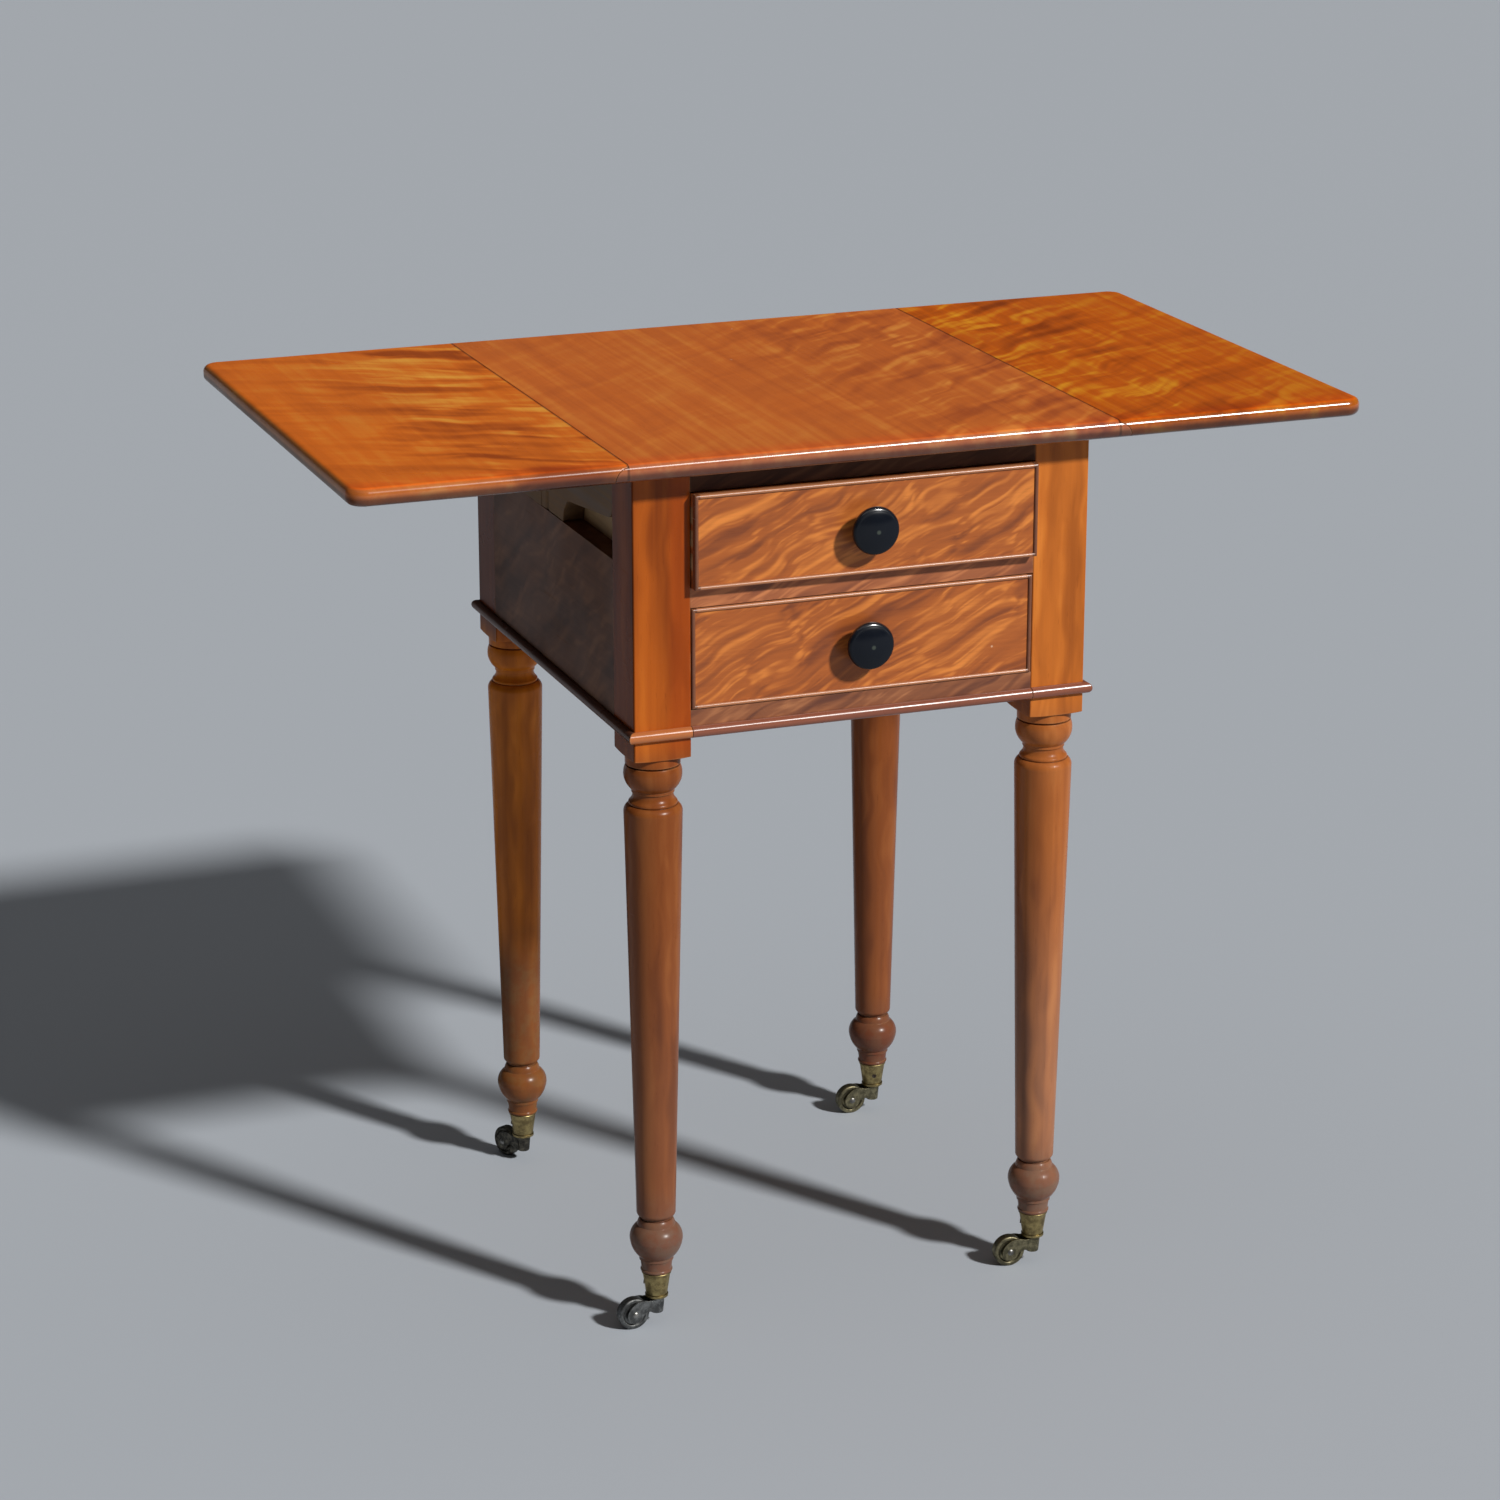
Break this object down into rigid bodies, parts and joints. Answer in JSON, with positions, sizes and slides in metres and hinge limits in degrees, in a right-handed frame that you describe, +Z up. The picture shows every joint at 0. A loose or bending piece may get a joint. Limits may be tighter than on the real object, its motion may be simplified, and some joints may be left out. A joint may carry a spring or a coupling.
{
  "type": "sewing table",
  "caption": "Drop-leaf work table with rule-jointed leaves on swinging fly brackets, beaded drawers with turned knobs, and turned legs on brass cup castors.",
  "frame": {"origin": "on the floor under the middle of the top", "axes": "+Z up, +X to the right along the open leaves, drawers face -Y"},
  "size_m": [0.826, 0.454, 0.723],
  "materials": {
    "top_birch": "polished satin birch with rippled figure",
    "case_birch": "polished birch, straight grain",
    "drawer_birch": "polished birch veneer with slanting ripple",
    "moulding_birch": "polished half-round moulding",
    "leg_birch": "polished red-brown birch",
    "pale_wood": "bare pale wood",
    "ebonised_wood": "black polish",
    "brass": "dull aged brass",
    "dull_brass": "dark worn brass",
    "hinge_steel": "dark oxidised steel",
    "steel": "dull steel pin"
  },
  "bodies": {
    "case": {"back_panel": "case_birch", "board_flaps_left": "hinge_steel", "board_flaps_right": "hinge_steel", "castor_cups": "brass", "drawer_stops": "pale_wood", "fly_pin_left": "steel", "fly_pin_right": "steel", "fly_rail_left": "case_birch", "fly_rail_right": "case_birch", "front_bottom_rail": "case_birch", "front_middle_rail": "case_birch", "front_top_rail": "case_birch", "hinge_pins_left": "steel", "hinge_pins_right": "steel", "inner_rail_left": "pale_wood", "inner_rail_right": "pale_wood", "kickers": "pale_wood", "leg_back_left": "leg_birch", "leg_back_right": "leg_birch", "leg_front_left": "leg_birch", "leg_front_right": "leg_birch", "lower_runners": "pale_wood", "moulding_back": "moulding_birch", "moulding_front": "moulding_birch", "moulding_left": "moulding_birch", "moulding_right": "moulding_birch", "side_panel_left": "case_birch", "side_panel_right": "case_birch", "top_board": "top_birch", "upper_runners": "pale_wood"},
    "left_leaf": {"leaf_left": "top_birch", "leaf_flaps_left": "hinge_steel"},
    "left_bracket": {"fly_bracket_left": "case_birch"},
    "right_leaf": {"leaf_right": "top_birch", "leaf_flaps_right": "hinge_steel"},
    "right_bracket": {"fly_bracket_right": "case_birch"},
    "upper_drawer": {"upper_drawer_front": "drawer_birch", "upper_drawer_sides": "pale_wood", "upper_drawer_back": "pale_wood", "upper_drawer_bottom": "pale_wood", "upper_cock_bead": "moulding_birch", "upper_knob": "ebonised_wood"},
    "lower_drawer": {"lower_drawer_front": "drawer_birch", "lower_drawer_sides": "pale_wood", "lower_drawer_back": "pale_wood", "lower_drawer_bottom": "pale_wood", "lower_cock_bead": "moulding_birch", "lower_knob": "ebonised_wood"},
    "swivel_front_left": {"castor_horn_front_left": "dull_brass", "castor_axle_front_left": "steel"},
    "wheel_front_left": {"castor_wheel_front_left": "dull_brass"},
    "swivel_front_right": {"castor_horn_front_right": "dull_brass", "castor_axle_front_right": "steel"},
    "wheel_front_right": {"castor_wheel_front_right": "dull_brass"},
    "swivel_back_left": {"castor_horn_back_left": "dull_brass", "castor_axle_back_left": "steel"},
    "wheel_back_left": {"castor_wheel_back_left": "dull_brass"},
    "swivel_back_right": {"castor_horn_back_right": "dull_brass", "castor_axle_back_right": "steel"},
    "wheel_back_right": {"castor_wheel_back_right": "dull_brass"}
  },
  "joints": [
    {"name": "left_leaf_hinge", "type": "hinge", "parent": "case", "child": "left_leaf", "pos_m": [-0.2, 0, 0.7108], "axis": [0, 1, 0], "range_deg": [-90, 0]},
    {"name": "left_bracket_swing", "type": "hinge", "parent": "case", "child": "left_bracket", "pos_m": [-0.179, 0.014, 0.67], "axis": [0, 0, -1], "range_deg": [0, 90]},
    {"name": "right_leaf_hinge", "type": "hinge", "parent": "case", "child": "right_leaf", "pos_m": [0.2, 0, 0.7108], "axis": [0, -1, 0], "range_deg": [-90, 0]},
    {"name": "right_bracket_swing", "type": "hinge", "parent": "case", "child": "right_bracket", "pos_m": [0.179, 0.014, 0.67], "axis": [0, 0, 1], "range_deg": [0, 90]},
    {"name": "upper_drawer_slide", "type": "slide", "parent": "case", "child": "upper_drawer", "axis": [0, -1, 0], "range_m": [-0.008, 0.24]},
    {"name": "lower_drawer_slide", "type": "slide", "parent": "case", "child": "lower_drawer", "axis": [0, -1, 0], "range_m": [0, 0.24]},
    {"name": "front_left_castor_swivel", "type": "hinge", "parent": "case", "child": "swivel_front_left", "pos_m": [-0.165, -0.1745, 0.0246], "axis": [0, 0, 1], "continuous": true},
    {"name": "front_left_wheel_spin", "type": "hinge", "parent": "swivel_front_left", "child": "wheel_front_left", "pos_m": [-0.18592, -0.17633, 0.013], "axis": [0.0872, -0.9962, 0], "continuous": true},
    {"name": "front_right_castor_swivel", "type": "hinge", "parent": "case", "child": "swivel_front_right", "pos_m": [0.165, -0.1745, 0.0246], "axis": [0, 0, 1], "continuous": true},
    {"name": "front_right_wheel_spin", "type": "hinge", "parent": "swivel_front_right", "child": "wheel_front_right", "pos_m": [0.14405, -0.17303, 0.013], "axis": [-0.0698, -0.9976, 0], "continuous": true},
    {"name": "back_left_castor_swivel", "type": "hinge", "parent": "case", "child": "swivel_back_left", "pos_m": [-0.165, 0.1745, 0.0246], "axis": [0, 0, 1], "continuous": true},
    {"name": "back_left_wheel_spin", "type": "hinge", "parent": "swivel_back_left", "child": "wheel_back_left", "pos_m": [-0.17354, 0.19368, 0.013], "axis": [-0.9135, -0.4067, 0], "continuous": true},
    {"name": "back_right_castor_swivel", "type": "hinge", "parent": "case", "child": "swivel_back_right", "pos_m": [0.165, 0.1745, 0.0246], "axis": [0, 0, 1], "continuous": true},
    {"name": "back_right_wheel_spin", "type": "hinge", "parent": "swivel_back_right", "child": "wheel_back_right", "pos_m": [0.144, 0.17487, 0.013], "axis": [-0.0175, -0.9998, 0], "continuous": true}
  ]
}
